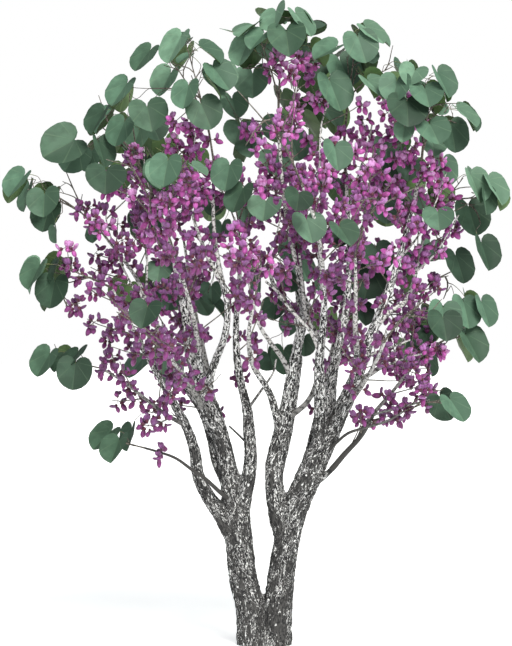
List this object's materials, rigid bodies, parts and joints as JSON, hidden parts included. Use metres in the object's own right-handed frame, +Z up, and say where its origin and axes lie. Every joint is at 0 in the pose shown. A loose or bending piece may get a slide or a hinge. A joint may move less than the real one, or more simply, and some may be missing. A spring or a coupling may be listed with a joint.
{
  "type": "western redbud tree",
  "caption": "Small flowering tree: leaning stems fork from a flat cut at the ground into boughs with magenta pea blossom and heart-shaped leaves.",
  "frame": {"origin": "on the flat cut at ground level, between the feet of the two stems", "axes": "+Z up along the height, -Y towards the side that the picture shows, +X to that view's right"},
  "size_m": [1.9801, 1.7951, 2.4899],
  "materials": {
    "bark": "rough",
    "leaves": "satin",
    "blossom": "satin"
  },
  "bodies": {
    "root": {"centre_back_bough": "bark", "centre_bough": "bark", "centre_left_bough": "bark", "front_middle_leaves": "leaves", "inner_left_blossom": "blossom", "left_back_bough": "bark", "left_back_high_bough": "bark", "left_back_high_leaves": "leaves", "left_back_low_leaves": "leaves", "left_cross_bough": "bark", "left_front_bough": "bark", "left_front_high_bough": "bark", "left_front_high_leaves": "leaves", "left_front_low_leaves": "leaves", "left_high_bough": "bark", "left_high_leaves": "leaves", "left_inner_bough": "bark", "left_low_bough": "bark", "left_low_leaves": "leaves", "left_middle_leaves": "leaves", "left_outer_bough": "bark", "left_spray_bough": "bark", "left_spray_leaves": "leaves", "left_stem": "bark", "right_back_bough": "bark", "right_back_high_bough": "bark", "right_back_high_leaves": "leaves", "right_back_low_leaves": "leaves", "right_fork_bough": "bark", "right_front_bough": "bark", "right_front_high_bough": "bark", "right_front_high_leaves": "leaves", "right_front_low_leaves": "leaves", "right_high_leaves": "leaves", "right_inner_bough": "bark", "right_low_bough": "bark", "right_low_leaves": "leaves", "right_lower_bough": "bark", "right_lower_leaves": "leaves", "right_mid_bough": "bark", "right_middle_leaves": "leaves", "right_side_bough": "bark", "right_stem": "bark", "top_back_leaves": "leaves", "top_centre_leaves": "leaves", "top_front_leaves": "leaves", "top_left_leaves": "leaves", "top_right_leaves": "leaves", "trunk": "bark", "upper_left_leaves": "leaves", "upper_right_leaves": "leaves"}
  },
  "joints": []
}
